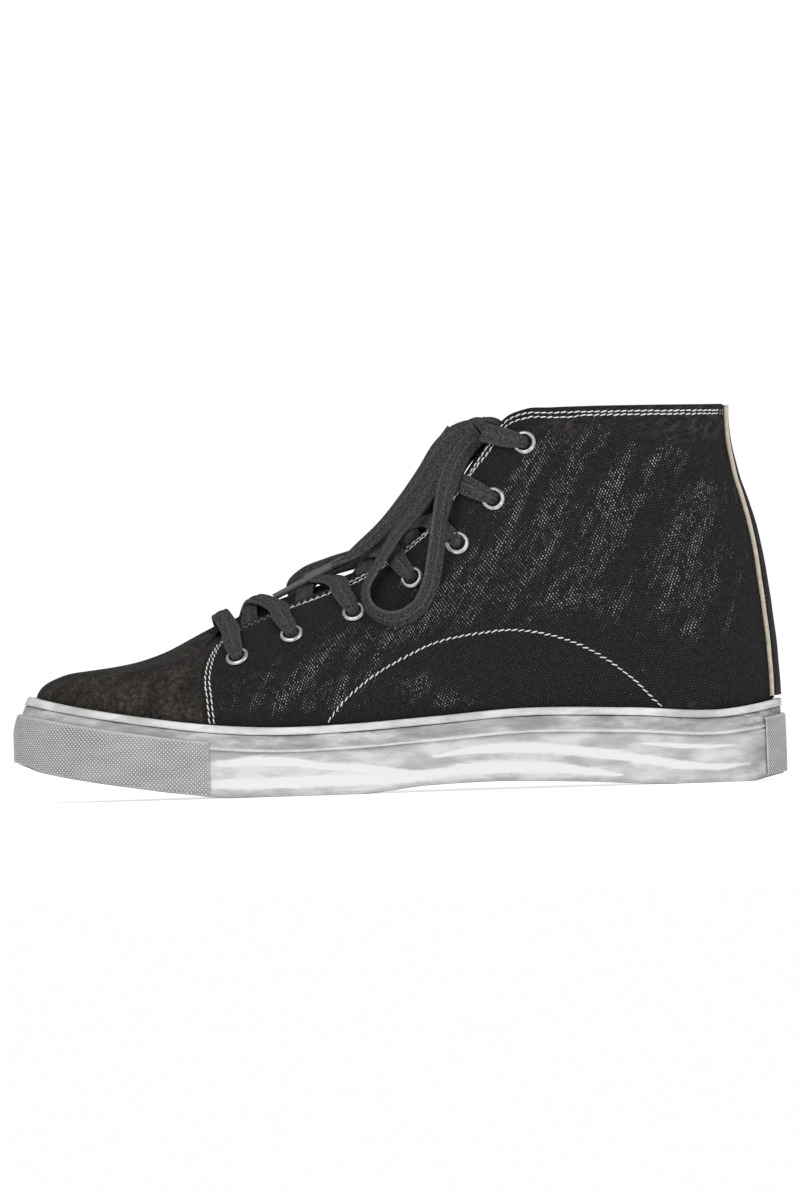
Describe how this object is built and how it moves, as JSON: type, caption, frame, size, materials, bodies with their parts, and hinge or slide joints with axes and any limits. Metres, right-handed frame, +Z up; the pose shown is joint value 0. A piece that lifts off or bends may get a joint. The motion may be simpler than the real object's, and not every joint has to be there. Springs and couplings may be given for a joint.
{
  "type": "high top sneaker",
  "caption": "Lace-up high top shoe with a soft hollow upper, stitched canvas quarters, a suede vamp and a rubber cupsole with a spring at the toe.",
  "frame": {"origin": "middle of the shoe's box on the floor plane, laces of the bow left out", "axes": "+Z up, +X from toe to heel, -Y towards the outer side of the foot"},
  "size_m": [0.3, 0.1044, 0.1469],
  "materials": {
    "sole_rubber": "matt light grey, lightly worn",
    "strip_rubber": "matt off-white",
    "bumper_rubber": "fine pressed texture",
    "canvas_and_suede": "worn black canvas quarters, dark brown suede vamp",
    "stay_suede": "dark suede",
    "piping_cotton": "cream cord",
    "tongue_canvas": "black canvas",
    "insole_cloth": "black cloth on foam",
    "eyelet_nickel": "antique nickel",
    "lace_cotton": "flat braid, dark grey",
    "aglet_plastic": "dark film"
  },
  "bodies": {
    "root": {"cupsole": "sole_rubber", "foxing_strip": "strip_rubber", "toe_bumper": "bumper_rubber", "heel_bumper": "bumper_rubber", "upper": "canvas_and_suede", "heel_stay": "stay_suede", "heel_piping_outer": "piping_cotton", "heel_piping_inner": "piping_cotton", "tongue": "tongue_canvas", "insole": "insole_cloth", "eyelet_outer_1": "eyelet_nickel", "eyelet_inner_1": "eyelet_nickel", "eyelet_outer_2": "eyelet_nickel", "eyelet_inner_2": "eyelet_nickel", "eyelet_outer_3": "eyelet_nickel", "eyelet_inner_3": "eyelet_nickel", "eyelet_outer_4": "eyelet_nickel", "eyelet_inner_4": "eyelet_nickel", "eyelet_outer_5": "eyelet_nickel", "eyelet_inner_5": "eyelet_nickel", "eyelet_outer_6": "eyelet_nickel", "eyelet_inner_6": "eyelet_nickel", "eyelet_outer_7": "eyelet_nickel", "eyelet_inner_7": "eyelet_nickel", "lace_bar": "lace_cotton", "lace_cross_2": "lace_cotton", "lace_cross_3": "lace_cotton", "lace_cross_4": "lace_cotton", "lace_cross_5": "lace_cotton", "lace_cross_6": "lace_cotton", "lace_top": "lace_cotton", "lace_knot": "lace_cotton", "lace_loop_outer": "lace_cotton", "lace_loop_inner": "lace_cotton", "lace_end_outer": "lace_cotton", "lace_end_inner": "lace_cotton", "aglet_outer": "aglet_plastic", "aglet_inner": "aglet_plastic"}
  },
  "joints": []
}
